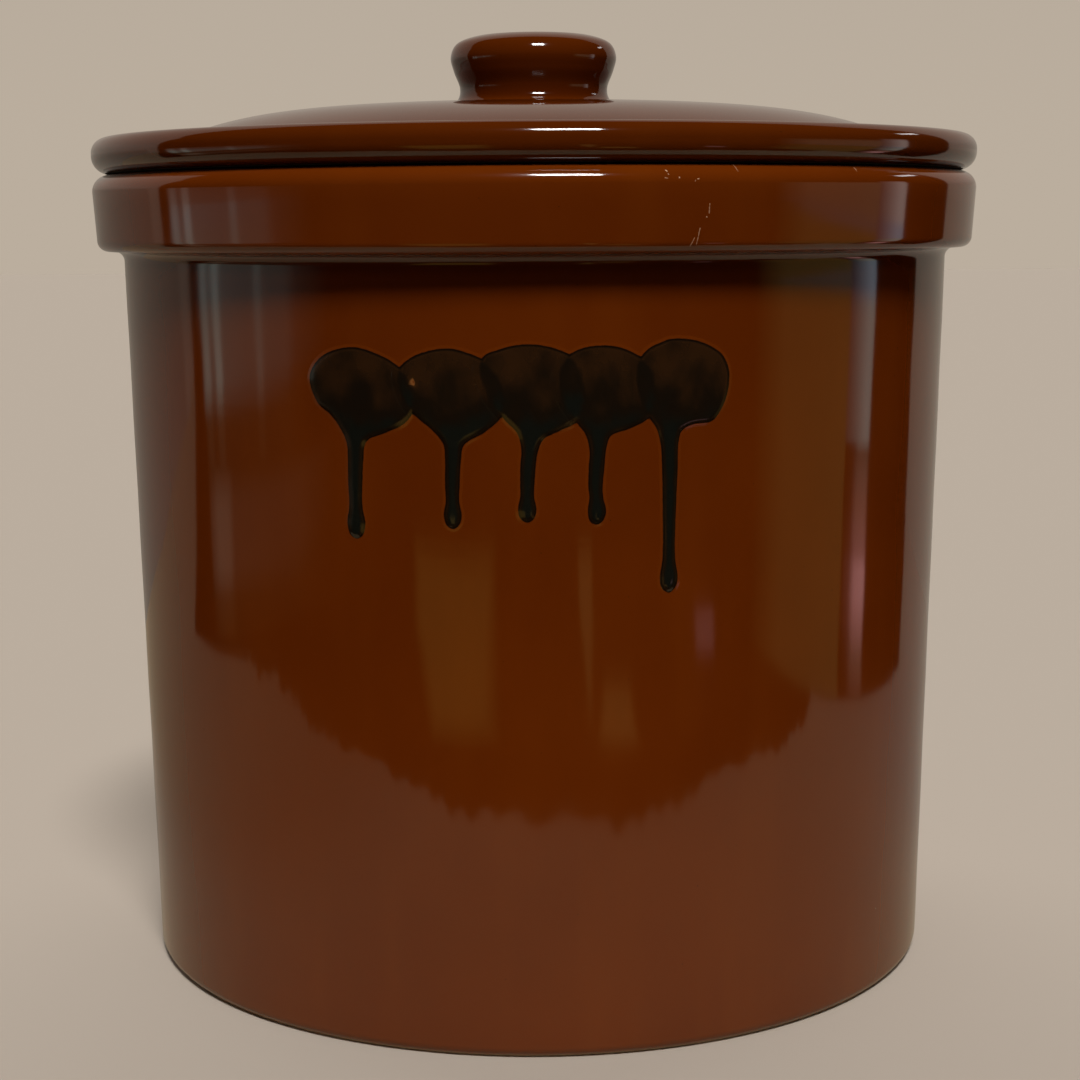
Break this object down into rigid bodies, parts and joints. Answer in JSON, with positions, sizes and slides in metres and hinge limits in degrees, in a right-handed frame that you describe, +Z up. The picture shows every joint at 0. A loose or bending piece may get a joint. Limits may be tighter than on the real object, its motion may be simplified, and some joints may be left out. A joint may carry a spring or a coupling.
{
  "type": "lidded stoneware crock",
  "caption": "Straight-sided glazed stoneware crock with a thick collar and a loose domed lid with a mushroom knob, for keeping pickles, miso or water.",
  "frame": {"origin": "centre of the foot, at the height of the surface that the crock stands on", "axes": "+Z up through the centre of the lid's knob; the poured black glaze is on the front, towards -Y; +X to the right as seen from the front"},
  "size_m": [0.269, 0.269, 0.2809],
  "materials": {
    "brown_glaze": "glossy",
    "black_glaze": "glossy"
  },
  "bodies": {
    "crock": {"crock_body": "brown_glaze", "glaze_run_1": "black_glaze", "glaze_run_2": "black_glaze", "glaze_run_3": "black_glaze", "glaze_run_4": "black_glaze", "glaze_run_5": "black_glaze"},
    "lid": {"lid": "brown_glaze", "lid_knob": "brown_glaze"}
  },
  "joints": [
    {"name": "lid_lift", "type": "slide", "parent": "crock", "child": "lid", "axis": [0, 0, 1], "range_m": [0, 0.15]}
  ]
}
